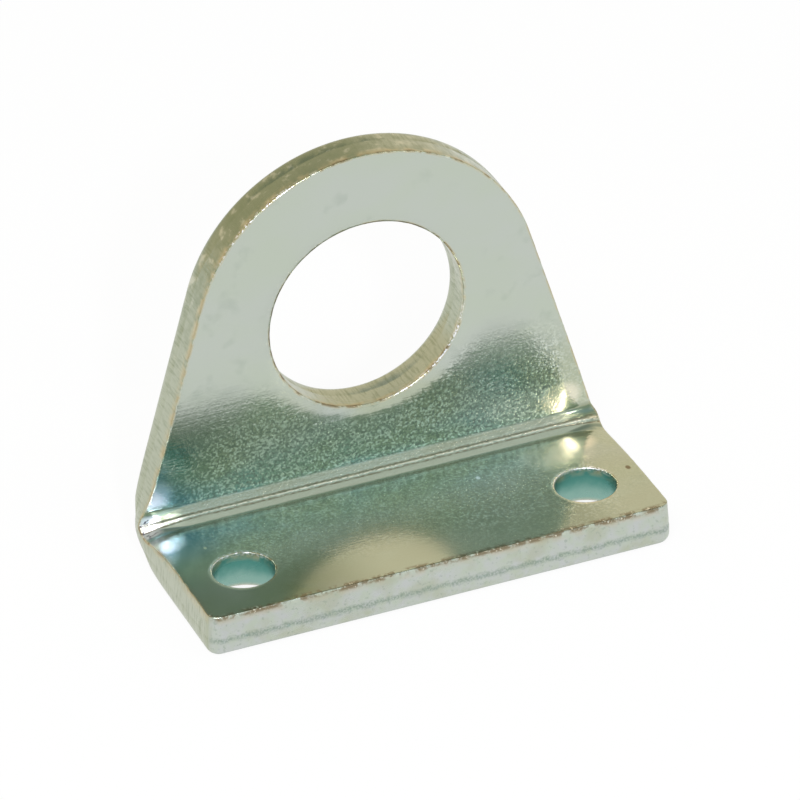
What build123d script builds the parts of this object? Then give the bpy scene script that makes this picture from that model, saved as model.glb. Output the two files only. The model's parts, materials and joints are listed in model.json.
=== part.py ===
from build123d import *
import os
from math import acos, atan2, cos, sin, sqrt

# Cylinder foot mount: one blank punched from thick steel strip, folded once to a right angle.
# The foot lies flat and takes two screws. The upright carries a bore for the nose of a small
# cylinder, which a nut holds against it.
# Frame: origin midway between the two foot holes on the mounting face, X along the row of
# holes, Y from the foot's free edge to the upright, Z up. Lengths are in millimetres.

# Sheet and fold
SHEET = 5.0               # thickness of the strip
FOLD_INNER_R = 1.6        # radius pressed into the inside of the fold
FOLD_OUTER_R = FOLD_INNER_R + SHEET

# Foot
FOOT_WIDTH = 54.0         # across the foot and the fold
FOOT_HALF = FOOT_WIDTH / 2
FREE_EDGE = 7.7           # from the hole centres to the foot's free edge
CORNER_R = 1.5            # free corners in plan
SCREW_SPACING = 40.0      # between the two foot holes
SCREW_HOLE_D = 6.8        # clearance for an M6 screw

# Upright
FRONT_FACE = 12.1         # from the hole centres to the face the nut bears on
BACK_FACE = FRONT_FACE + SHEET
AXIS_HEIGHT = 25.0        # bore axis above the mounting face
HEAD_R = 20.0             # round head, concentric with the bore
NOSE_THREAD_D = 22.0      # thread of the cylinder's nose
NOSE_CLEARANCE = 0.6      # by which the bore is larger than the thread
BORE_D = NOSE_THREAD_D + NOSE_CLEARANCE
FLANK_START = 4.3         # height at which the sides begin to lean in
FLANK_BLEND_R = 3.0       # rounds the change from the parallel side to the leaning one

# Marks of the punch: the outer side of the sheet is drawn over the die, the inner one breaks out
ROLL_R = 1.15             # rolled edge round the outline, on the underside and the back
BORE_ROLL_R = 1.1         # rolled edge round the bore, on the back
SCREW_ROLL_R = 1.8        # deeper rolled edge round the foot holes, on the underside
BREAK_DEPTH = 2.9         # part of the thickness that broke instead of being cut
BREAK_SLOPE = 0.2         # how far the broken part of the outline runs in

# Marks of the fold at its two ends: the squeezed inside swells, the stretched outside draws in
SWELL_R = 6.0             # roundness of the swelling
SWELL_HEIGHT = 0.3        # how far it stands out of the side
SWELL_BELOW = 0.6         # from the inside of the fold to the middle of the swelling
DRAW_R = 20.0             # roundness of the hollow in the outer curve
DRAW_DEPTH = 1.3          # how deep it lies below the side
DRAW_BEYOND = 2.0         # from the outside of the fold out to the middle of the hollow

# Derived positions
TURN_Y = FRONT_FACE - FOLD_INNER_R        # centre line of the fold's two curves
TURN_Z = SHEET + FOLD_INNER_R
HEAD_TOP = AXIS_HEIGHT + HEAD_R
MIDWAY = sqrt(0.5)                        # both shares of a radius at half of a quarter turn
FLANK_RISE = AXIS_HEIGHT - FLANK_START
# Bearing of the point where a flank runs into the round head, seen from the bore axis
FLANK_BEARING = atan2(-FLANK_RISE, FOOT_HALF) + acos(HEAD_R / sqrt(FOOT_HALF**2 + FLANK_RISE**2))

# Construction only
REACH = 80.0              # longer than any part of the piece
TOUCH = 0.05              # closeness at which an edge counts as lying on a face


def fold_section():
    """Side view of the folded sheet: foot, quarter turn and upright."""
    with BuildSketch(Plane.YZ) as section:
        with BuildLine():
            Line((-FREE_EDGE, 0), (TURN_Y, 0))
            ThreePointArc(
                (TURN_Y, 0),
                (TURN_Y + FOLD_OUTER_R * MIDWAY, TURN_Z - FOLD_OUTER_R * MIDWAY),
                (BACK_FACE, TURN_Z),
            )
            Polyline((BACK_FACE, TURN_Z), (BACK_FACE, HEAD_TOP), (FRONT_FACE, HEAD_TOP),
                     (FRONT_FACE, TURN_Z))
            ThreePointArc(
                (FRONT_FACE, TURN_Z),
                (TURN_Y + FOLD_INNER_R * MIDWAY, TURN_Z - FOLD_INNER_R * MIDWAY),
                (TURN_Y, SHEET),
            )
            Polyline((TURN_Y, SHEET), (-FREE_EDGE, SHEET), (-FREE_EDGE, 0))
        make_face()
    return section.sketch


def front_outline():
    """Front view: parallel sides at the fold, leaning flanks tangent to the round head."""
    tangent_x = HEAD_R * cos(FLANK_BEARING)
    tangent_z = AXIS_HEIGHT + HEAD_R * sin(FLANK_BEARING)
    with BuildSketch(Plane.XZ) as outline:
        with BuildLine():
            Polyline((-tangent_x, tangent_z), (-FOOT_HALF, FLANK_START), (-FOOT_HALF, 0),
                     (FOOT_HALF, 0), (FOOT_HALF, FLANK_START), (tangent_x, tangent_z))
            ThreePointArc((tangent_x, tangent_z), (0, HEAD_TOP), (-tangent_x, tangent_z))
        make_face()
        fillet(outline.vertices().filter_by_position(
            Axis.Y, FLANK_START - TOUCH, FLANK_START + TOUCH), FLANK_BLEND_R)
    return outline.sketch


def depth_in_sheet(point):
    """How far a point lies below the underside, the outer curve or the back."""
    across, up = point.Y - TURN_Y, point.Z - TURN_Z
    if across <= 0:
        return point.Z
    if up >= 0:
        return BACK_FACE - point.Y
    return FOLD_OUTER_R - sqrt(across**2 + up**2)


def outline_edges(shape, depth):
    """Edges of the cut outline at one depth, without the seams where the skin starts to curve."""
    found = []
    for edge in shape.edges():
        on_skin = all(abs(depth_in_sheet(edge @ share) - depth) < TOUCH for share in (0, 0.5, 1))
        middle = edge.center()
        seam = min(abs(middle.Y - TURN_Y), abs(middle.Z - TURN_Z)) < TOUCH
        if on_skin and not seam:
            found.append(edge)
    return found


def folded_blank():
    """The folded sheet, rolled round its outline on the outside and broken on the inside."""
    blank = extrude(fold_section(), FOOT_HALF, both=True)
    blank &= extrude(front_outline(), REACH, both=True)
    free_corners = blank.edges().filter_by(Axis.Z).filter_by_position(
        Axis.Y, -FREE_EDGE - TOUCH, -FREE_EDGE + TOUCH)
    blank = fillet(free_corners, CORNER_R)
    blank = fillet(outline_edges(blank, 0), ROLL_R)
    top_face = blank.faces().filter_by(Axis.Z).sort_by(Axis.Z)[-1]
    free_edge = [
        edge for edge in outline_edges(blank, SHEET)
        if abs(edge.center().Y + FREE_EDGE) < TOUCH
    ]
    return chamfer(free_edge, BREAK_SLOPE, BREAK_DEPTH, reference=top_face)


def fold_end_marks(blank):
    """Swell the inside of the fold at both ends and draw the outside in."""
    # The swelling sits over the change of direction, so it stands out of both sides alike
    lean = FLANK_BEARING / 2
    sunk = SWELL_R - SWELL_HEIGHT
    swell_from_axis = FOLD_INNER_R + SWELL_BELOW
    draw_from_axis = FOLD_OUTER_R + DRAW_BEYOND
    section = extrude(fold_section(), REACH, both=True)
    for side in (-1, 1):
        swelling = Pos(
            side * (FOOT_HALF - sunk * cos(lean)),
            TURN_Y + swell_from_axis * MIDWAY,
            TURN_Z - swell_from_axis * MIDWAY - sunk * sin(lean),
        ) * Sphere(SWELL_R)
        hollow = Pos(
            side * (FOOT_HALF + DRAW_R - DRAW_DEPTH),
            TURN_Y + draw_from_axis * MIDWAY,
            TURN_Z - draw_from_axis * MIDWAY,
        ) * Sphere(DRAW_R)
        blank = blank - hollow + (section & swelling)
    return blank


def punched_hole(radius, roll):
    """Cutter for a hole: rolled mouth at z = 0, then a straight wall up to the inner side."""
    with BuildSketch(Plane.XZ) as half:
        with BuildLine():
            ThreePointArc(
                (radius + roll, 0),
                (radius + roll * (1 - MIDWAY), roll * (1 - MIDWAY)),
                (radius, roll),
            )
            Polyline((radius, roll), (radius, SHEET), (0, SHEET), (0, 0), (radius + roll, 0))
        make_face()
    return revolve(half.sketch, Axis.Z)


def foot_bracket():
    """The finished bracket."""
    bracket = fold_end_marks(folded_blank())
    screw_hole = punched_hole(SCREW_HOLE_D / 2, SCREW_ROLL_R)
    for side in (-1, 1):
        bracket -= Pos(side * SCREW_SPACING / 2, 0, 0) * screw_hole
    bore = punched_hole(BORE_D / 2, BORE_ROLL_R)
    bracket -= Pos(0, BACK_FACE, AXIS_HEIGHT) * Rot(90, 0, 0) * bore
    return bracket


os.makedirs("parts", exist_ok=True)
export_step(foot_bracket(), "parts/foot_bracket.step")
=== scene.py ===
"""Foot mount of a small cylinder: punched from thick steel strip, folded once, zinc plated."""

import json
import logging
import math
from collections.abc import Callable
from dataclasses import dataclass
from enum import Enum

import bmesh
import bpy
import numpy as np
from mathutils import Matrix, Vector, noise

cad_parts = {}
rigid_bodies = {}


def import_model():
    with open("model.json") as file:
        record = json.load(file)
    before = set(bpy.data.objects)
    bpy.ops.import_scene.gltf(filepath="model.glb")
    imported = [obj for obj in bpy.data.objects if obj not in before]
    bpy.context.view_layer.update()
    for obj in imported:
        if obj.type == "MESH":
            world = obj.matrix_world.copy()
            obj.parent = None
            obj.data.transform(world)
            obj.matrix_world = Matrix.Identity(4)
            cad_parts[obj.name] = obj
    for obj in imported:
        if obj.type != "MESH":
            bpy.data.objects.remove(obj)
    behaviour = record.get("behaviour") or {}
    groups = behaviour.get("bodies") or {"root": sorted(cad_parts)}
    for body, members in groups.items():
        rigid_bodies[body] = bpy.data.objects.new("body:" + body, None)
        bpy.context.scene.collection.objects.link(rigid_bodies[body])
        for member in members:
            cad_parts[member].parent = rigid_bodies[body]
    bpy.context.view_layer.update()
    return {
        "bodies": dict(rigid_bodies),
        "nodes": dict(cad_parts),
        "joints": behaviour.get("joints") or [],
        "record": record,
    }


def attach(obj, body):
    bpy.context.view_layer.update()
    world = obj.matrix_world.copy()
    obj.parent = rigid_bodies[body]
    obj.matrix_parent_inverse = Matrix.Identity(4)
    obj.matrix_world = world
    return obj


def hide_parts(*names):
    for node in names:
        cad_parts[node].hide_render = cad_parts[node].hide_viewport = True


MM = 0.001
NEAR = 0.001
LOG = logging.getLogger("foot_mount")


class Axis(Enum):
    """The three axes of the row frame."""

    X = 0
    Y = 1
    Z = 2


class Shade:
    """A shader socket that takes part in Python arithmetic by adding Math nodes."""

    def __init__(self, tree: "ShaderTree", socket: bpy.types.NodeSocket) -> None:
        """Wrap a socket.

        Args:
            tree: The tree that the socket belongs to.
            socket: An output socket with one value per point.
        """
        self.tree = tree
        self.socket = socket

    def _math(self, operation: str, *values: "Shade | float") -> "Shade":
        """Add a Math node on the given values and return its result."""
        return self.tree.math(operation, *values)

    def __add__(self, other: "Shade | float") -> "Shade":
        """Sum."""
        return self._math("ADD", self, other)

    __radd__ = __add__

    def __sub__(self, other: "Shade | float") -> "Shade":
        """Difference."""
        return self._math("SUBTRACT", self, other)

    def __rsub__(self, other: "Shade | float") -> "Shade":
        """Difference with the operands turned round."""
        return self._math("SUBTRACT", other, self)

    def __mul__(self, other: "Shade | float") -> "Shade":
        """Product."""
        return self._math("MULTIPLY", self, other)

    __rmul__ = __mul__

    def __truediv__(self, other: "Shade | float") -> "Shade":
        """Quotient."""
        return self._math("DIVIDE", self, other)

    def __pow__(self, other: "Shade | float") -> "Shade":
        """Power."""
        return self._math("POWER", self, other)

    def __neg__(self) -> "Shade":
        """Opposite."""
        return self._math("MULTIPLY", self, -1.0)

    def __abs__(self) -> "Shade":
        """Absolute value."""
        return self._math("ABSOLUTE", self)

    def clamp(self) -> "Shade":
        """The value kept between 0 and 1."""
        return self.tree.ramp(self, 0.0, 1.0)

    def least(self, other: "Shade | float") -> "Shade":
        """The smaller of two values."""
        return self._math("MINIMUM", self, other)

    def most(self, other: "Shade | float") -> "Shade":
        """The larger of two values."""
        return self._math("MAXIMUM", self, other)


class ShaderTree:
    """A material's nodes, written as expressions."""

    def __init__(self, name: str) -> None:
        """Start a material with a Principled shader on its output.

        Args:
            name: The material's name.
        """
        self.material = bpy.data.materials.new(name)
        self.material.use_nodes = True
        self.nodes = self.material.node_tree.nodes
        self.links = self.material.node_tree.links
        self.nodes.clear()
        self.output = self.nodes.new("ShaderNodeOutputMaterial")
        self.surface = self.nodes.new("ShaderNodeBsdfPrincipled")
        self.links.new(self.surface.outputs[0], self.output.inputs["Surface"])

    def node(self, kind: str, settings: dict | None = None,
             inputs: dict | None = None) -> bpy.types.Node:
        """Add one node.

        Args:
            kind: The node's type without its ShaderNode prefix.
            settings: Properties to set before the sockets are filled.
            inputs: Values or links of the sockets, by name or number.

        Returns:
            The new node.
        """
        made = self.nodes.new("ShaderNode" + kind)
        for name, value in (settings or {}).items():
            setattr(made, name, value)
        for name, value in (inputs or {}).items():
            self.feed(made.inputs[name], value)
        return made

    def feed(self, socket: bpy.types.NodeSocket, value: object) -> None:
        """Link a socket, or set its value."""
        if isinstance(value, Shade):
            self.links.new(value.socket, socket)
        elif isinstance(value, bpy.types.NodeSocket):
            self.links.new(value, socket)
        else:
            socket.default_value = value

    def math(self, operation: str, *values: "Shade | float") -> Shade:
        """Add a Math node.

        Args:
            operation: The node's operation.
            values: One to three values or links.

        Returns:
            The node's result.
        """
        made = self.node("Math", {"operation": operation}, dict(enumerate(values)))
        return Shade(self, made.outputs[0])

    def ramp(self, value: Shade, low: float, high: float, smooth: bool = False) -> Shade:
        """Spread a value from low to high over 0 to 1.

        Args:
            value: What is spread.
            low: The value that gives 0; it may be the larger one.
            high: The value that gives 1.
            smooth: Whether the two ends are eased.

        Returns:
            The result, kept between 0 and 1.
        """
        made = self.node(
            "MapRange",
            {"interpolation_type": "SMOOTHSTEP" if smooth else "LINEAR", "clamp": True},
            {"Value": value, "From Min": low, "From Max": high},
        )
        return Shade(self, made.outputs["Result"])

    @classmethod
    def of_world(cls, world: bpy.types.World) -> "ShaderTree":
        """Work on a world's nodes, with its Background as the surface."""
        tree = cls.__new__(cls)
        tree.nodes, tree.links = world.node_tree.nodes, world.node_tree.links
        tree.surface = tree.nodes["Background"]
        return tree

    def split(self, vector: bpy.types.NodeSocket) -> tuple[Shade, ...]:
        """The three shares of a vector."""
        return tuple(Shade(self, share)
                     for share in self.node("SeparateXYZ", inputs={0: vector}).outputs)

    def place(self) -> tuple[Shade, ...]:
        """Where the point was on the flat blank.

        Returns:
            Its places across, along and deep in the sheet, in millimetres.
        """
        self.point = self.node("Attribute", {"attribute_name": "sheet"}).outputs["Vector"]
        return self.split(self.point)

    def attribute(self, name: str) -> Shade:
        """A number kept with the points of the piece."""
        return Shade(self, self.node("Attribute", {"attribute_name": name}).outputs["Fac"])

    def noise(self, size: float, detail: float = 2.0, stretch: tuple = (1, 1, 1),
              shift: float = 0.0, rough: float = 0.5) -> Shade:
        """Cloudy noise on the piece.

        Args:
            size: Size of its spots in millimetres.
            detail: How many finer layers it has.
            stretch: By how much it is drawn out along each axis.
            shift: Offset that makes two patterns differ.
            rough: How strong the finer layers are.

        Returns:
            Values around 0.5.
        """
        scale = tuple(1 / (size * share) for share in stretch)
        spot = self.node("Mapping", inputs={
            "Vector": self.point, "Location": (shift, shift, shift), "Scale": scale})
        made = self.node("TexNoise", inputs={
            "Vector": spot.outputs[0], "Scale": 1.0, "Detail": detail, "Roughness": rough})
        return Shade(self, made.outputs["Fac"])

    def cells(self, size: float, feature: str = "F1", shift: float = 0.0) -> Shade:
        """Distance to the nearest of scattered points.

        Args:
            size: Usual distance between two points in millimetres.
            feature: Which distance is measured.
            shift: Offset that makes two patterns differ.

        Returns:
            The distance, in sizes.
        """
        spot = self.node("Mapping", inputs={
            "Vector": self.point, "Location": (shift, shift, shift),
            "Scale": (1 / size,) * 3})
        made = self.node("TexVoronoi", {"feature": feature}, {
            "Vector": spot.outputs[0], "Scale": 1.0})
        return Shade(self, made.outputs["Distance"])

    def blend(self, share: "Shade | float", first: object, second: object) -> bpy.types.NodeSocket:
        """Mix two colours.

        Args:
            share: How much of the second colour shows.
            first: A colour, or a link that gives one.
            second: A colour, or a link that gives one.

        Returns:
            The mixed colour.
        """
        made = self.nodes.new("ShaderNodeMix")
        made.data_type = "RGBA"
        self.feed(made.inputs["Factor"], share)
        colours = [socket for socket in made.inputs if socket.type == "RGBA"]
        self.feed(colours[0], first)
        self.feed(colours[1], second)
        return next(socket for socket in made.outputs if socket.type == "RGBA")


def rgb(red: float, green: float, blue: float) -> tuple[float, float, float, float]:
    """An opaque colour in linear light."""
    return (red, green, blue, 1.0)


@dataclass(frozen=True)
class ZincPlating:
    """Bright zinc on punched steel, with a thin blue-green passivation, and with painted highlights
    and shade laid into its colour.
    """

    clear: tuple = rgb(0.51, 0.565, 0.48)
    band: tuple = rgb(0.43, 0.45, 0.35)
    low_band: tuple = rgb(0.70, 0.78, 0.66)
    low_edge: tuple = rgb(0.66, 0.78, 0.70)
    warm_shine: tuple = rgb(0.92, 0.87, 0.70)
    cool_shine: tuple = rgb(0.88, 0.92, 0.98)
    ink: tuple = rgb(0.06, 0.06, 0.10)
    white: tuple = rgb(0.95, 0.95, 0.97)
    teal: tuple = rgb(0.30, 0.54, 0.50)
    deep_teal: tuple = rgb(0.09, 0.33, 0.39)
    olive: tuple = rgb(0.47, 0.50, 0.31)
    dark_olive: tuple = rgb(0.235, 0.275, 0.165)
    shade: tuple = rgb(0.24, 0.31, 0.25)
    straw: tuple = rgb(0.44, 0.47, 0.35)
    painted_arc_shade: tuple = rgb(0.24, 0.27, 0.16)
    pool: tuple = rgb(0.09, 0.28, 0.24)
    shallow: tuple = rgb(0.25, 0.43, 0.37)
    spark: tuple = rgb(0.80, 0.87, 0.78)
    cream: tuple = rgb(0.86, 0.83, 0.68)
    brown: tuple = rgb(0.20, 0.15, 0.08)
    amber: tuple = rgb(0.62, 0.52, 0.30)
    bronze: tuple = rgb(0.30, 0.26, 0.18)
    lilac: tuple = rgb(0.56, 0.57, 0.60)
    roughness: float = 0.16
    sheet: float = 5.0
    fold_low: float = 10.5
    fold_high: float = 16.47
    hole_across: float = 20.0
    bore_along: float = 34.87

    def build(self) -> bpy.types.Material:
        """Make the material.

        Returns:
            The finished material.
        """
        tree = ShaderTree("zinc_plating")
        across, along, depth = tree.place()
        rim = tree.attribute("rim")
        off = along - (self.fold_low + self.fold_high) / 2
        away = abs(off)
        side = abs(across)
        skin = tree.ramp(depth, self.sheet - 0.02, self.sheet - 0.001)
        under = tree.ramp(depth, 0.02, 0.001)
        both = skin + under
        wall = 1.0 - both
        outer_fold = tree.ramp(away, 4.2, 2.6, smooth=True) * under
        corner = tree.ramp(away, 17.0, 8.0, smooth=True) * skin
        upright = tree.ramp(off, 2.4, 3.2)
        taper = tree.ramp(side, 21.5, 26.0, smooth=True)
        fold = tree.ramp(away + 1.7 * taper, 3.15, 2.85) * skin
        hole_x = side - self.hole_across
        in_hole = (tree.ramp((hole_x * hole_x + along * along) ** 0.5, 3.9, 3.5)
                   * tree.ramp(depth, self.sheet, self.sheet - 0.12))
        front = wall * tree.ramp(along, -6.6, -7.3)

        grain = tree.noise(0.27, 1.0, shift=1.0)
        grit = tree.noise(0.22, 1.0, shift=5.0)
        flecks = tree.noise(0.36, 1.0, shift=11.0)
        smudge = tree.noise(3.2, 4.0, shift=14.0)
        streaks = tree.noise(0.30, 2.0, stretch=(18.0, 1.0, 1.0), shift=9.0)
        drag = tree.noise(0.28, 3.0, stretch=(1.0, 1.0, 7.0), shift=4.0)
        cloud = tree.noise(6.0, 3.0, stretch=(1.6, 1.0, 1.0), shift=2.0)
        patch = tree.noise(1.3, 4.0, shift=6.0)
        chips = tree.noise(0.45, 3.0, shift=8.0)

        near_fold = tree.ramp(away, 11.0, 3.5, smooth=True) * skin
        colour = tree.blend(near_fold * tree.ramp(cloud, 0.25, 0.60)
                            * tree.ramp(across, 26.0, 2.0), self.clear, self.teal)
        end_teal = (tree.ramp(across, -16.0, -23.0, smooth=True)
                    * tree.ramp(away, 13.0, 8.5, smooth=True) * skin)
        colour = tree.blend(end_teal * tree.ramp(cloud, 0.10, 0.40), colour, self.deep_teal)
        colour = tree.blend(corner * tree.ramp(cloud, 0.62, 0.42) * 0.5, colour, self.olive)
        foot = tree.ramp(along, 9.0, 2.0, smooth=True) * skin
        to_bore = (across * across + (along - self.bore_along) * (along - self.bore_along)) ** 0.5
        beside_bore = tree.ramp(to_bore, 13.6, 12.4, smooth=True) * skin
        colour = tree.blend(foot * (0.35 + 0.45 * tree.ramp(cloud, 0.35, 0.60)), colour,
                            self.olive)
        # Painted shade: the front of the foot is darkened on its left and, less, on its right.
        colour = tree.blend(tree.ramp(along, 4.0, -3.0, smooth=True) * skin
                            * tree.ramp(across, -5.0, -16.0, smooth=True) * 0.95, colour,
                            self.dark_olive)
        colour = tree.blend(tree.ramp(along, 6.0, -2.0, smooth=True) * skin
                            * tree.ramp(across, -1.0, 8.0, smooth=True)
                            * tree.ramp(across, 22.0, 17.0, smooth=True) * 0.5, colour,
                            self.dark_olive)
        calm = tree.ramp(across, 21.5, 23.0) + tree.ramp(across, -18.0, -25.0)
        foot_grain = 0.42 * tree.ramp(along + 5.0 * tree.ramp(across, -1.0, 6.0), -4.0, 4.0)
        speckled = ((corner * upright + foot_grain * (1.0 - upright) * skin)
                    * (1.0 - fold) * (1.0 - beside_bore) * (1.0 - 0.8 * calm))
        # Painted shade: a light darkening of the upright some 5 to 17 mm above the middle of the fold.
        colour = tree.blend(corner * upright * tree.ramp(away, 5.0, 10.0) * 0.15, colour,
                            self.shade)
        colour = tree.blend(tree.ramp(flecks, 0.54, 0.38) * speckled * 0.9, colour,
                            self.shade)
        colour = tree.blend(tree.ramp(grain, 0.50, 0.63) * speckled, colour, self.spark)
        colour = tree.blend(near_fold * tree.ramp(flecks, 0.64, 0.70) * tree.ramp(cloud, 0.50, 0.60)
                            * (1.0 - upright) * 0.6, colour, self.cream)
        colour = tree.blend(tree.ramp(cloud, 0.35, 0.65) * both * 0.25, colour, self.lilac)
        colour = tree.blend(tree.ramp(smudge, 0.60, 0.74) * both * 0.17, colour, self.shade)

        colour = tree.blend(wall * (1.0 - front) * 0.85, colour, self.straw)
        arc = wall * tree.ramp(along, 30.0, 38.0, smooth=True) * (1.0 - tree.ramp(rim, 0.9, 1.4))
        colour = tree.blend((wall - front) * tree.ramp(drag, 0.52, 0.34) * 0.5, colour,
                            self.dark_olive)
        # Painted shade: the wall of the round head is darkened on its upper left.
        colour = tree.blend(arc * tree.ramp(across, 6.0, -2.0, smooth=True)
                            * tree.ramp(across, -21.0, -14.0) * 0.85, colour, self.painted_arc_shade)
        colour = tree.blend(arc * tree.ramp(patch, 0.52, 0.34) * 0.45, colour, self.dark_olive)
        colour = tree.blend(arc * tree.ramp(patch, 0.56, 0.70) * 0.40, colour, self.cream)
        colour = tree.blend(outer_fold * tree.ramp(streaks, 0.50, 0.36) * 0.5, colour, self.shade)
        colour = tree.blend(under * tree.ramp(flecks, 0.66, 0.74) * 0.35, colour, self.shade)
        colour = tree.blend(front * tree.ramp(patch, 0.35, 0.65) * 0.6, colour, self.lilac)
        colour = tree.blend(front * tree.ramp(smudge, 0.50, 0.65) * 0.6, colour, self.straw)
        colour = tree.blend(front * tree.ramp(chips, 0.42, 0.30) * 0.4, colour, self.shade)
        # The screw holes' walls are teal, with painted shade darkening their upper part.
        colour = tree.blend(in_hole, colour, self.shallow)
        colour = tree.blend(in_hole * tree.ramp(depth + 1.5 * (patch - 0.5), 1.6, 3.8,
                                                smooth=True), colour, self.pool)

        colour = tree.blend(fold * 0.8, colour, self.band)
        colour = tree.blend(fold * tree.ramp(grit, 0.56, 0.40) * 0.35, colour, self.dark_olive)
        # Painted light: the lower part of the fold band is lightened.
        colour = tree.blend(fold * tree.ramp(off, -0.9, -1.4) * 0.85, colour, self.low_band)
        # Painted shade: the upper part of the fold is darkened near both ends.
        colour = tree.blend(skin * tree.ramp(side, 21.0, 24.5, smooth=True)
                            * tree.ramp(off, 0.1, 0.8) * tree.ramp(off, 3.6, 2.8) * 0.9, colour,
                            self.dark_olive)
        # Painted shade in the creases that run in towards the fold's ends.
        crease = (tree.ramp(abs(away + 1.7 * taper - 3.5), 0.7, 0.2)
                  * tree.ramp(taper, 0.02, 0.35) * skin)
        colour = tree.blend(crease * 0.85, colour, self.shade)
        # Painted light: a pale line on the foot along the start of the fold, lightening the dark
        # reflection there.
        colour = tree.blend(tree.ramp(abs(off + 3.6), 0.9, 0.35) * (1.0 - taper) * skin * 0.7,
                            colour, self.low_edge)
        # Painted highlight at the left end of the fold, with dark specks laid over it.
        tip = tree.ramp(across, -24.6, -25.8) * tree.ramp(abs(off + 0.3), 2.6, 1.9) * skin
        colour = tree.blend(tip * 0.9, colour, self.white)
        colour = tree.blend(tip * tree.ramp(chips, 0.54, 0.60), colour, self.ink)
        # Painted highlights: bright spots on the inner skin near both ends of the fold, warm on the
        # right and cool on the left.
        spot_x = (side - 22.6 - 3.0 * tree.ramp(across, 0.0, -1.0)) / 2.0
        spot_s = (away - 5.0) / 1.6
        shine = tree.ramp(spot_x * spot_x + spot_s * spot_s, 2.0, 0.2, smooth=True) * skin
        # Painted highlight: a warm pale patch on the right of the foot, near the fold.
        glow_x, glow_s = (across - 19.5) / 4.5, (along - 7.0) / 3.2
        glow = tree.ramp(glow_x * glow_x + glow_s * glow_s, 1.3, 0.1, smooth=True) * skin
        colour = tree.blend(glow * 0.5, colour, self.warm_shine)
        colour = tree.blend(shine * tree.ramp(across, -1.0, 1.0) * 0.8, colour, self.warm_shine)
        colour = tree.blend(shine * tree.ramp(across, 1.0, -1.0) * 0.9, colour, self.cool_shine)
        # Painted highlight along the fold's raised line and painted shade along its grooves, over the
        # same lines raised and sunk in the shape.
        wander = 0.5 * (patch - 0.5)
        bright_line = tree.ramp(abs(off + 0.15 + wander), 0.50, 0.20) * fold
        dark_lines = (tree.ramp(abs(off + 1.0 + wander), 0.36, 0.10)
                      + 0.7 * tree.ramp(abs(off - 0.65 + wander), 0.34, 0.10)
                      + 0.5 * tree.ramp(abs(off - 3.2), 0.35, 0.10)) * fold
        colour = tree.blend(bright_line * tree.ramp(chips, 0.38, 0.52) * 0.85, colour, self.cream)
        colour = tree.blend(dark_lines * tree.ramp(chips, 0.60, 0.42) * 0.75, colour, self.brown)

        lip = tree.ramp(depth, 3.9, 4.8)
        gilt = tree.ramp(rim, 0.36, 0.08) * lip
        colour = tree.blend(gilt * tree.ramp(patch, 0.38, 0.58) * 0.7, colour, self.amber)
        flank = tree.ramp(side, 14.0, 17.0) * tree.ramp(along, 16.0, 18.0)
        burr = tree.ramp(rim, 0.24, 0.10) * tree.ramp(depth, 4.5, 4.9) * (1.0 - 0.7 * flank)
        colour = tree.blend(burr * tree.ramp(patch + 0.4 * (chips - 0.5) + 0.7 * (cloud - 0.5),
                                             0.48, 0.60) * 0.75,
                            colour, self.brown)
        colour = tree.blend(burr * tree.ramp(patch + 0.4 * (chips - 0.5), 0.42, 0.32) * 0.7,
                            colour, self.cream)
        # Painted glints: white dots along the lower right rim of the bore and the upper left rim of
        # the head.
        glint = (burr * tree.ramp(grain, 0.50, 0.58)
                 * tree.ramp(to_bore, 14.0, 13.0) * tree.ramp(across, 1.0, 5.0)
                 * tree.ramp(along, self.bore_along, self.bore_along - 4.0))
        colour = tree.blend(glint, colour, self.white)
        glint = (burr * tree.ramp(grain, 0.54, 0.60) * tree.ramp(to_bore, 19.0, 19.5)
                 * tree.ramp(across, -7.0, -9.0) * tree.ramp(along, 42.0, 44.0))
        colour = tree.blend(glint, colour, self.white)
        # Painted highlights on the screw holes' rims: cream on the left side of each rim and white
        # glints at the back.
        hole_ring = (tree.ramp(rim, 0.50, 0.25) * tree.ramp(depth, 4.6, 4.95)
                     * tree.ramp((hole_x * hole_x + along * along) ** 0.5, 4.2, 3.9))
        colour = tree.blend(hole_ring * tree.ramp(hole_x * tree.ramp(across, -1.0, 1.0) * 2.0
                                                  - hole_x, 1.5, -2.0) * 0.7, colour, self.cream)
        colour = tree.blend(hole_ring * tree.ramp(along, 0.8, 2.0) * tree.ramp(grit, 0.48, 0.56),
                            colour, self.white)
        colour = tree.blend(front * tree.ramp(depth, 4.2, 4.9)
                            * tree.ramp(patch + 0.5 * (grit - 0.5), 0.44, 0.62) * 0.55, colour,
                            self.bronze)
        # Painted shade: a dark band along the left rim of the foot.
        colour = tree.blend(tree.ramp(rim, 0.9, 0.1) * skin * tree.ramp(across, -24.5, -26.0)
                            * tree.ramp(along, 10.0, 8.0) * 0.7, colour, self.bronze)
        edge_wear = (tree.ramp(rim, 1.0, 0.55) * skin * tree.ramp(along, -6.2, -6.7)
                     + front * tree.ramp(depth, 4.45, 4.75))
        colour = tree.blend(edge_wear * tree.ramp(patch + 0.6 * (chips - 0.5), 0.40, 0.54) * 0.75,
                            colour, self.brown)
        colour = tree.blend(edge_wear * tree.ramp(grain, 0.57, 0.66)
                            * tree.ramp(patch, 0.50, 0.60) * 0.8, colour, self.cream)
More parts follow.
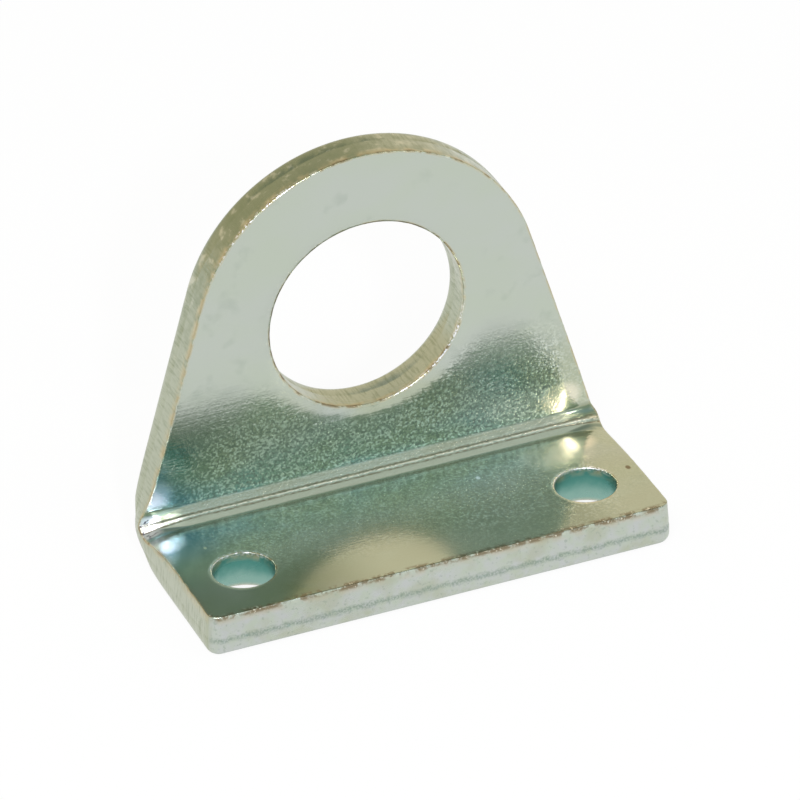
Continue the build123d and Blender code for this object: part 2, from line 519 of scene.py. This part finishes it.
        # Painted shade along the bottom of the foot's front wall.
        colour = tree.blend(wall * tree.ramp(along, -6.0, -6.8) * tree.ramp(depth, 0.7, 0.25)
                            * 0.55, colour, self.shade)
        tear = tree.ramp(abs(depth - 2.1 + 1.0 * (patch - 0.5)), 0.50, 0.10) * front
        colour = tree.blend(tear * (0.25 + 0.75 * tree.ramp(grit, 0.35, 0.60)) * 0.75, colour,
                            self.shade)
        for place, size, tone in ((( 9.94, 6.18), 0.30, self.white), ((-22.2, 5.75), 0.22, self.cream),
                                  ((25.66, 1.33), 0.34, self.brown)):
            gap_x, gap_s = across - place[0], (along - place[1]) * 0.7
            mark = tree.ramp((gap_x * gap_x + gap_s * gap_s) ** 0.5, size, 0.6 * size) * skin
            colour = tree.blend(mark * 0.9, colour, tone)
        tree.feed(tree.surface.inputs["Base Color"], colour)

        rough_skin = speckled
        height = (grain - 0.5) * (0.002 + 0.020 * rough_skin + 0.010 * wall)
        height = height + (grit - 0.5) * (0.001 + 0.008 * rough_skin + 0.004 * wall)
        height = height + (streaks - 0.5) * (0.003 * both + 0.008 * corner + 0.016 * outer_fold)
        height = height + (drag - 0.5) * 0.016 * wall * (1.0 - in_hole)
        height = height + (patch - 0.5) * (0.006 + 0.03 * fold + 0.035 * front)
        height = height + (chips - 0.5) * (0.026 * fold + 0.03 * gilt + 0.02 * front)
        relief = tree.node("Bump", inputs={
            "Height": height, "Strength": 1.0, "Distance": MM})
        tree.feed(tree.surface.inputs["Normal"], relief.outputs[0])
        rough = (self.roughness + 0.10 * (cloud - 0.5) + 0.12 * wall + 0.08 * fold
                 + 0.10 * gilt)
        tree.feed(tree.surface.inputs["Roughness"], rough)
        tree.surface.inputs["Metallic"].default_value = 1.0
        return tree.material


class Element(Enum):
    """What is selected in edit mode."""

    POINT = 0
    EDGE = 1
    FACE = 2


class Wall(Enum):
    """The punched walls of the blank."""

    OUTLINE = 0
    SCREW = 1
    BORE = 2


@dataclass
class Bench:
    """A mesh under work in edit mode, where one unit is one millimetre."""

    piece: bpy.types.Object

    def mesh(self) -> bmesh.types.BMesh:
        """The mesh as it is now."""
        return bmesh.from_edit_mesh(self.piece.data)

    def choose(self, kind: Element, test: Callable[[object], bool]) -> int:
        """Select the elements that pass a test, and nothing else.

        Args:
            kind: Whether points, edges or faces are looked at.
            test: Says whether one element is chosen.

        Returns:
            How many were chosen.
        """
        bpy.context.tool_settings.mesh_select_mode = tuple(kind is one for one in Element)
        mesh = self.mesh()
        groups = (mesh.verts, mesh.edges, mesh.faces)
        for group in groups:
            for element in group:
                element.select = False
        chosen = [element for element in groups[kind.value] if test(element)]
        for element in chosen:
            element.select_set(True)
        mesh.select_flush_mode()
        bmesh.update_edit_mesh(self.piece.data)
        return len(chosen)

    def extrude(self, step: Vector) -> None:
        """Extrude what is selected by one step."""
        bpy.ops.mesh.extrude_region_move(TRANSFORM_OT_translate={"value": step})

    def cut(self, place: float, axis: Axis) -> None:
        """Cut all faces along a plane across one axis."""
        normal = tuple(float(axis is one) for one in Axis)
        bpy.ops.mesh.select_all(action="SELECT")
        bpy.ops.mesh.bisect(plane_co=tuple(place * share for share in normal),
                            plane_no=normal, threshold=0.002)


def bump(distance: np.ndarray, width: float) -> np.ndarray:
    """A smooth hump: 1 in the middle and falling off over a width."""
    return np.exp(-(distance / width) ** 2)


def ease(value: np.ndarray, low: float, high: float) -> np.ndarray:
    """A smooth step from 0 at the low value to 1 at the high one."""
    share = np.clip((value - low) / (high - low), 0.0, 1.0)
    return share * share * (3.0 - 2.0 * share)


def knee(value: np.ndarray, start: float, width: float) -> np.ndarray:
    """How far a value lies below the start, with a soft bend of a given width there."""
    return width * np.log1p(np.exp((start - value) / width))


def ripple(points: np.ndarray, size: float, seed: float = 0.0) -> np.ndarray:
    """Smooth noise between about -1 and 1 at each point.

    Args:
        points: Rows of three coordinates in millimetres.
        size: Size of its waves in millimetres.
        seed: Offset that makes two patterns differ.

    Returns:
        One value per point.
    """
    return np.array([noise.noise(Vector(point) / size + Vector((seed, seed, seed)))
                     for point in points])


@dataclass(frozen=True)
class PunchedWall:
    """Profile of a wall left by the punch: rolled edge, cut band, break and burr."""

    roll: float
    cut: float = 2.1
    slope: float = 0.2
    sheet: float = 5.0
    round_steps: int = 6
    rim: float = 0.1
    tear: float = 0.04

    def rings(self) -> list[tuple[float, float, float]]:
        """The profile from the outer skin to the inner one.

        Returns:
            Inset into the sheet, share of the break's slope and depth for each ring.
        """
        found = [(self.roll + 0.25, 0.0, 0.0)]
        for step in range(self.round_steps + 1):
            turn = math.radians(90.0 * step / self.round_steps)
            found.append((self.roll * (1 - math.sin(turn)), 0.0, self.roll * (1 - math.cos(turn))))
        found.append((0.0, 0.0, self.cut))
        found.append((self.tear, 0.0, self.cut + 0.12))
        found.append((0.75 * self.tear, 0.05, self.cut + 0.35))
        for share in (0.3, 0.65, 0.9):
            found.append((0.0, share, self.cut + share * (self.sheet - self.cut)))
        found.append((0.0, 1.0, self.sheet - self.rim))
        found.append((0.3 * self.rim, 1.0, self.sheet - 0.25 * self.rim))
        found.append((self.rim, 1.0, self.sheet))
        found.append((self.rim + 0.2, 1.0, self.sheet))
        found.append((self.rim + 0.8, 1.0, self.sheet))
        return found


@dataclass
class FootBracket:
    """The bracket: a flat blank is punched, and then folded once. Sizes in millimetres."""

    screw_spacing: float
    screw_radius: float
    bore_radius: float
    axis_height: float
    sheet: float = 5.0
    fold_inner: float = 1.6
    neutral: float = 3.8
    half_width: float = 27.0
    free_edge: float = 7.7
    corner: float = 1.5
    front_face: float = 12.1
    head_radius: float = 20.0
    flank_start: float = 4.3
    flank_blend: float = 0.435
    roll: float = 1.15
    bore_roll: float = 1.1
    screw_roll: float = 1.8
    swell_left: float = 0.34
    swell_right: float = 0.12
    flat_share: float = 0.8
    knee_reach: float = 4.5
    knee_slope: float = 0.17
    step: float = 0.5
    trim: float = 0.01

    def __post_init__(self) -> None:
        """Work out the places that follow from the sizes."""
        self.turn_y = self.front_face - self.fold_inner
        self.fold_outer = self.fold_inner + self.sheet
        self.turn_end = self.turn_y + self.neutral * math.pi / 2
        self.fold_middle = (self.turn_y + self.turn_end) / 2
        self.bore_along = self.along(self.axis_height)
        self.flank_along = self.along(self.flank_start)
        rise, run = self.axis_height - self.flank_start, self.half_width
        self.bearing = (math.acos(self.head_radius / math.hypot(rise, run))
                        - math.atan2(rise, run))

    @classmethod
    def from_frame(cls, frame: dict) -> "FootBracket":
        """Take the holes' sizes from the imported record."""
        mounts = {mount["name"]: mount for mount in frame["record"]["mounts"]}
        screws, bore = mounts["foot_holes"]["dims"], mounts["nose_bore"]
        return cls(screws["spacing_x_mm"], screws["hole_r_mm"], bore["dims"]["r_mm"],
                   bore["pos_m"][2] / MM)

    def along(self, height: float) -> float:
        """Where a height on the upright lies along the flat blank."""
        return self.turn_end + height - self.fold_outer

    def build(self, material: bpy.types.Material) -> bpy.types.Object:
        """Make the bracket and give it its finish.

        Args:
            material: The finish.

        Returns:
            The finished piece.
        """
        self.bench = self._outline()
        self._round_corners()
        self._divide()
        self._holes()
        self._raise_walls()
        bpy.ops.object.mode_set(mode="OBJECT")
        self._shape_walls()
        bpy.ops.object.mode_set(mode="EDIT")
        self._close_skins()
        self._cut_grid()
        bpy.ops.object.mode_set(mode="OBJECT")
        self._fold()
        self._smooth()
        piece = self.bench.piece
        piece.data.materials.append(material)
        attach(piece, "root")
        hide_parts("foot_bracket")
        return piece

    def _outline(self) -> Bench:
        """Draw the blank's outline from the round head's circle.

        Returns:
            The bench that holds the closed outline.
        """
        bpy.ops.object.select_all(action="DESELECT")
        bpy.ops.mesh.primitive_circle_add(
            vertices=240, radius=self.head_radius, location=(0, self.bore_along, 0))
        bpy.ops.object.transform_apply(location=True)
        piece = bpy.context.object
        piece.name = "bracket"
        bench = Bench(piece)
        bpy.ops.object.mode_set(mode="EDIT")
        bench.choose(Element.POINT, lambda point: math.atan2(
            point.co.y - self.bore_along, abs(point.co.x)) < self.bearing)
        bpy.ops.mesh.delete(type="VERT")
        ends = sorted((point for point in bench.mesh().verts if len(point.link_edges) == 1),
                      key=lambda point: point.co.x)
        left, here = ends[0].co.copy(), ends[-1].co.copy()
        bench.choose(Element.POINT, lambda point: (point.co - here).length < NEAR)
        for side, place in ((1, self.flank_along), (1, -self.free_edge), (-1, -self.free_edge),
                            (-1, self.flank_along)):
            target = Vector((side * self.half_width, place, 0))
            bench.extrude(target - here)
            here = target
        bench.choose(Element.POINT, lambda point: min((point.co - left).length,
                                                      (point.co - here).length) < NEAR)
        bpy.ops.mesh.edge_face_add()
        return bench

    def _round_corners(self) -> None:
        """Round the free corners and the change from side to flank."""
        self.bench.choose(Element.EDGE, lambda edge: True)
        bpy.ops.mesh.edge_face_add()
        self.bench.choose(Element.POINT, lambda point: point.co.y < 0)
        bpy.ops.mesh.bevel(offset=self.corner, segments=6, affect="VERTICES")
        self.bench.choose(Element.POINT, lambda point: abs(point.co.y - self.flank_along) < NEAR)
        bpy.ops.mesh.bevel(offset=self.flank_blend, segments=3, affect="VERTICES")
        self.bench.choose(Element.FACE, lambda face: True)
        bpy.ops.mesh.delete(type="ONLY_FACE")

    def _divide(self) -> None:
        """Divide the long straight edges, so that the burr can vary along them."""
        longest = self._longest()
        while longest > 2 * self.step:
            self.bench.choose(Element.EDGE,
                              lambda edge: abs(edge.calc_length() - longest) < NEAR)
            bpy.ops.mesh.subdivide(number_cuts=round(longest / self.step) - 1)
            longest = self._longest()

    def _longest(self) -> float:
        """Length of the longest edge."""
        return max(edge.calc_length() for edge in self.bench.mesh().edges)

    def _circles(self) -> list[tuple[Wall, float, float, float]]:
        """Kind, place across, place along and radius of each hole."""
        return [(Wall.SCREW, -self.screw_spacing / 2, 0.0, self.screw_radius),
                (Wall.SCREW, self.screw_spacing / 2, 0.0, self.screw_radius),
                (Wall.BORE, 0.0, self.bore_along, self.bore_radius)]

    def _holes(self) -> None:
        """Draw the holes."""
        for _, across, along, radius in self._circles():
            bpy.ops.mesh.primitive_circle_add(
                vertices=8 * round(math.tau * radius / self.step / 8) + 48, radius=radius,
                location=(across, along, 0))

    def _raise_walls(self) -> None:
        """Extrude all loops into walls, one unit for each ring of the profile."""
        self.bench.choose(Element.EDGE, lambda edge: True)
        for _ in PunchedWall(self.roll).rings()[1:]:
            self.bench.extrude(Vector((0, 0, 1)))

    def _read_points(self) -> np.ndarray:
        """The mesh's points, one row each."""
        mesh = self.bench.piece.data
        flat = np.empty(3 * len(mesh.vertices))
        mesh.vertices.foreach_get("co", flat)
        return flat.reshape(-1, 3)

    def _write_points(self, points: np.ndarray) -> None:
        """Put the mesh's points at new places."""
        mesh = self.bench.piece.data
        mesh.vertices.foreach_set("co", points.ravel())
        mesh.update()

    def _shape_walls(self) -> None:
        """Give the walls their rolled edge, break and ragged burr."""
        points = self._read_points()
        ring = np.rint(points[:, 2]).astype(int)
        partners: dict[int, list[int]] = {}
        for edge in self.bench.piece.data.edges:
            first, second = edge.vertices
            if ring[first] == 0 and ring[second] == 0:
                partners.setdefault(first, []).append(second)
                partners.setdefault(second, []).append(first)
        walls = {Wall.OUTLINE: PunchedWall(self.roll).rings(),
                 Wall.SCREW: PunchedWall(self.screw_roll, cut=2.6, slope=0.0, tear=0.0).rings(),
                 Wall.BORE: PunchedWall(self.bore_roll, slope=0.0).rings()}
        loops = {}
        for index, (before, after) in partners.items():
            here = Vector(points[index])
            run = Vector(points[after]) - Vector(points[before])
            inward = Vector((run.y, -run.x, 0)).normalized()
            kind, centre = Wall.OUTLINE, Vector((0, 20, 0))
            for hole, across, along, radius in self._circles():
                if (here - Vector((across, along, 0))).length < radius + NEAR:
                    kind, centre = hole, Vector((across, along, 0))
            points_out = inward.dot(here - centre) > 0
            if points_out == (kind is Wall.OUTLINE):
                inward.negate()
            loops[tuple(np.round(points[index][:2], 3))] = (kind, inward)
        fine, broad = ripple(points, 0.7), ripple(points * (1, 1, 0), 3.0, 5.0)
        for index, point in enumerate(points):
            kind, inward = loops[tuple(np.round(point[:2], 3))]
            inset, share, depth = walls[kind][ring[index]]
            slope = float(0.2 - 0.16 * ease(point[1], 4.0, 12.0)) if kind is Wall.OUTLINE else 0.0
            inset += share * slope
            if 8 <= ring[index] <= 10:
                depth += 0.22 * broad[index] + 0.1 * fine[index]
            if 13 <= ring[index] <= 16:
                inset = max(0.0, inset + 0.035 * fine[index])
            if 15 <= ring[index] <= 16:
                depth += 0.04 * max(0.0, fine[index])
            point[:2] += np.array(inward[:2]) * inset
            point[2] = depth
        self._write_points(points)

    def _close_skins(self) -> None:
        """Fill both sides of the sheet between the outline and the holes."""
        for inner in (False, True):
            self.bench.choose(Element.EDGE, lambda edge: edge.is_boundary and (
                edge.verts[0].co.z > self.sheet / 2) == inner)
            bpy.ops.mesh.fill(use_beauty=True)
        bpy.ops.mesh.select_all(action="SELECT")
        bpy.ops.mesh.normals_make_consistent(inside=False)

    def _cut_grid(self) -> None:
        """Cut the skins into a grid that is finest at the fold and at its ends."""
        fold_low, fold_high = self.turn_y - 1.0, self.turn_end + 1.0
        top = self.bore_along + self.head_radius
        places = np.concatenate([
            np.arange(-self.free_edge + 0.6, fold_low - 0.2, 1.1),
            np.arange(fold_low, fold_high, 0.25),
            np.arange(fold_high + 0.1, top - 0.4, 1.2)])
        for place in places:
            self.bench.cut(float(place) + 0.0137, Axis.Y)
        wide = np.arange(-21.6, 21.7, 1.2)
        ends = np.arange(22.3, self.half_width, 0.45)
        for place in np.concatenate([wide, ends, -ends]):
            self.bench.cut(float(place) + 0.0071, Axis.X)

    def _outline_distance(self, across: np.ndarray, along: np.ndarray) -> np.ndarray:
        """Distance of flat points to the outline, from inside.

        Args:
            across: Places across the blank.
            along: Places along the blank.

        Returns:
            The distances.
        """
        side, up = np.abs(across), along - self.bore_along
        flank = self.head_radius - (side * math.cos(self.bearing) + up * math.sin(self.bearing))
        head = np.where(np.arctan2(up, side) > self.bearing,
                        self.head_radius - np.hypot(side, up), flank)
        return np.minimum.reduce([self.half_width - side, along + self.free_edge, flank, head])

    def _rim_distance(self, across: np.ndarray, along: np.ndarray) -> np.ndarray:
        """Distance of flat points to the nearest rim of outline or hole."""
        found = [self._outline_distance(across, along)]
        for _, centre, place, radius in self._circles():
            found.append(np.hypot(across - centre, along - place) - radius)
        return np.minimum.reduce(found)

    def _lift(self, flat: np.ndarray) -> np.ndarray:
        """How far the inner skin stands above the plain sheet.

        Args:
            flat: Points of the flat blank.

        Returns:
            The height of the fold's lines and of the marks at its ends.
        """
        across, along, depth = flat.T
        off = along - self.fold_middle
        half = (self.turn_end - self.turn_y) / 2
        to_end = np.clip(self.half_width - np.abs(across), 0.0, None)
        ragged = 1.0 + 0.5 * ripple(flat * (1, 0, 0), 1.6, 2.0)
        lines = (0.06 * ragged * bump(off + 0.15, 0.35) - 0.05 * bump(off + 1.0, 0.3)
                 - 0.04 * bump(off - 0.65, 0.3) - 0.02 * bump(off - half, 0.3))
        turn = np.clip(off / self.neutral, -math.pi / 4, math.pi / 4)
        flattened = (self.flat_share * self.fold_inner
                     * (1.0 - math.sqrt(0.5) / np.cos(turn)) * ease(to_end, -1.0, 2.0))
        drop = (knee(to_end, self.knee_reach, 0.35) * self.knee_slope
                + knee(to_end, 1.2, 0.3) * 0.16) * bump(off, 6.5)
        to_bore = np.hypot(across, along - self.bore_along) - self.bore_radius
        dish = 0.17 * knee(to_bore, 1.6, 0.4)
        sway = 0.012 * ripple(flat * (1, 1, 0), 9.0, 7.0)
        return (lines + flattened - drop - dish + sway) * ease(depth, 3.6, self.sheet)

    def _fold(self) -> None:
        """Fold the blank round the bending axis, and note where each point was when flat."""
        flat = self._read_points()
        across, along, depth = flat.T.copy()
        mesh = self.bench.piece.data
        note = mesh.attributes.new("sheet", "FLOAT_VECTOR", "POINT")
        note.data.foreach_set("vector", np.stack([across, along, depth], axis=1).ravel())
        rim = mesh.attributes.new("rim", "FLOAT", "POINT")
        rim.data.foreach_set("value", np.clip(self._rim_distance(across, along), 0.0, 3.0))
        turn = np.clip((along - self.turn_y) / self.neutral, 0.0, math.pi / 2)
        radius = self.fold_outer - depth - self._lift(flat)
        y = np.minimum(along, self.turn_y) + radius * np.sin(turn)
        z = (self.fold_outer - radius * np.cos(turn)
             + np.clip(along - self.turn_end, 0.0, None))
        z = np.minimum(z, self.axis_height + self.head_radius - self.trim)
        diagonal = math.sqrt(0.5)
        swell = self.fold_inner + 1.0
        draw = self.fold_outer + 0.8
        height = np.where(across < 0, self.swell_left, self.swell_right)
        swelling = height * bump(np.hypot(y - self.turn_y - swell * diagonal,
                                          z - self.fold_outer + swell * diagonal), 2.2)
        hollow = (bump(np.hypot(y - self.turn_y - draw * diagonal,
                                z - self.fold_outer + draw * diagonal), 4.2)
                  * (1.0 - ease(depth, 0.0, 2.8)))
        near_end = bump(np.clip(self._outline_distance(across, along), 0.0, None), 3.0)
        x = across + np.sign(across) * near_end * (swelling - hollow)
        self._write_points(np.stack([x, y, z], axis=1) * MM)

    def _smooth(self) -> None:
        """Shade the piece smoothly, with its flat faces kept flat."""
        piece = self.bench.piece
        bpy.ops.object.select_all(action="DESELECT")
        piece.select_set(True)
        bpy.context.view_layer.objects.active = piece
        bpy.ops.object.shade_smooth_by_angle(angle=math.radians(60))
        weighted = piece.modifiers.new("weighted", "WEIGHTED_NORMAL")
        weighted.keep_sharp = True
        bpy.ops.object.modifier_apply(modifier=weighted.name)


@dataclass(frozen=True)
class Lamp:
    """A softbox: where it hangs, how wide it is, its strength and tint."""

    name: str
    place: tuple
    width: float
    power: float
    tint: tuple = (1.0, 1.0, 1.0)

    def build(self) -> None:
        """Hang the lamp so that it looks at the bracket."""
        data = bpy.data.lights.new(self.name, "AREA")
        data.shape, data.size, data.energy, data.color = "DISK", self.width, self.power, self.tint
        lamp = bpy.data.objects.new(self.name, data)
        lamp.location = self.place
        lamp.rotation_euler = Vector(self.place).to_track_quat("Z", "Y").to_euler()
        bpy.context.scene.collection.objects.link(lamp)


@dataclass(frozen=True)
class Tent:
    """The white tent round the table, as the world's light."""

    front: tuple = rgb(0.62, 0.75, 0.78)
    back: tuple = rgb(0.92, 0.83, 0.68)
    overhead: tuple = rgb(0.48, 0.50, 0.46)

    def build(self) -> None:
        """Make the world."""
        world = bpy.data.worlds.new("tent")
        bpy.context.scene.world = world
        world.use_nodes = True
        tree = ShaderTree.of_world(world)
        towards = tree.node("TexCoord").outputs["Generated"]
        sideways, ahead, up = tree.split(towards)
        colour = tree.blend(tree.ramp(ahead, 0.2, -0.5, smooth=True), self.back, self.front)
        colour = tree.blend(tree.ramp(up, 0.55, 0.85, smooth=True), colour, self.overhead)
        tree.feed(tree.surface.inputs["Color"], colour)


@dataclass
class Studio:
    """Pale table under a tent, with soft lamps."""

    table_size: float = 3.0
    gap: float = 0.02 * MM
    paper: tuple = rgb(0.90, 0.90, 0.90)
    glow: float = 1.0
    glow_share: float = 0.93

    def build(self) -> None:
        """Make the table, the tent and the lamps."""
        bpy.ops.object.select_all(action="DESELECT")
        bpy.ops.mesh.primitive_plane_add(size=self.table_size, location=(0, 0, -self.gap))
        bpy.ops.object.transform_apply(location=True)
        table = bpy.context.object
        table.name = "table"
        table.data.materials.append(self._paper_white())
        Tent().build()
        for lamp in (Lamp("key", (-0.35, -0.45, 0.75), 0.30, 3.0),
                     Lamp("cool", (-0.16, -0.84, 0.53), 0.08, 3.8, (0.88, 0.88, 1.0)),
                     Lamp("warm", (0.54, -0.65, 0.53), 0.08, 0.65, (1.0, 0.86, 0.84))):
            lamp.build()

    def _paper_white(self) -> bpy.types.Material:
        """White paper that the camera and the metal see as the plain background.

        Returns:
            The finished material.
        """
        tree = ShaderTree("table_white")
        tree.surface.inputs["Base Color"].default_value = self.paper
        tree.surface.inputs["Roughness"].default_value = 0.9
        path = tree.node("LightPath").outputs
        seen = (Shade(tree, path["Is Camera Ray"]) + Shade(tree, path["Is Glossy Ray"])
                + Shade(tree, path["Is Transmission Ray"])).clamp()
        glow = tree.node("Emission", inputs={"Color": rgb(1, 1, 1), "Strength": self.glow})
        mix = tree.node("MixShader", inputs={
            0: seen * self.glow_share, 1: tree.surface.outputs[0], 2: glow.outputs[0]})
        # Seen from below, the table is clear, so that the underside can be looked at
        below = tree.node("MixShader", inputs={
            0: tree.node("NewGeometry").outputs["Backfacing"], 1: mix.outputs[0],
            2: tree.node("BsdfTransparent").outputs[0]})
        tree.links.new(below.outputs[0], tree.output.inputs["Surface"])
        return tree.material


@dataclass
class PhotoCamera:
    """Camera at the photograph's angle."""

    aim: tuple = (3.38 * MM, 12.0 * MM, 13.45 * MM)
    azimuth: float = -21.96
    elevation: float = 32.13
    roll: float = -1.57
    distance: float = 0.8034
    lens: float = 332.8
    sensor: float = 36.0

    def build(self) -> bpy.types.Object:
        """Make the camera and give it to the scene."""
        turn, rise = math.radians(self.azimuth), math.radians(self.elevation)
        back = Vector((math.sin(turn) * math.cos(rise), -math.cos(turn) * math.cos(rise),
                       math.sin(rise)))
        data = bpy.data.cameras.new("photo_camera")
        data.lens, data.sensor_width = self.lens, self.sensor
        data.clip_start, data.clip_end = 0.05, 20.0
        camera = bpy.data.objects.new("photo_camera", data)
        bpy.context.scene.collection.objects.link(camera)
        upright = back.to_track_quat("Z", "Y").to_matrix()
        camera.rotation_mode = "QUATERNION"
        spin = Matrix.Rotation(math.radians(self.roll), 3, "Z")
        camera.rotation_quaternion = (upright @ spin).to_quaternion()
        camera.location = Vector(self.aim) + back * self.distance
        bpy.context.scene.camera = camera
        return camera


def main() -> None:
    """Build the scene piece by piece."""
    logging.basicConfig(level=logging.INFO, format="%(message)s")
    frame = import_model()
    bpy.context.scene.view_settings.view_transform = "Standard"
    PhotoCamera().build()
    Studio().build()
    bracket = FootBracket.from_frame(frame).build(ZincPlating().build())
    LOG.info("%s: %d faces", bracket.name, len(bracket.data.polygons))


if __name__ == "__main__":
    main()
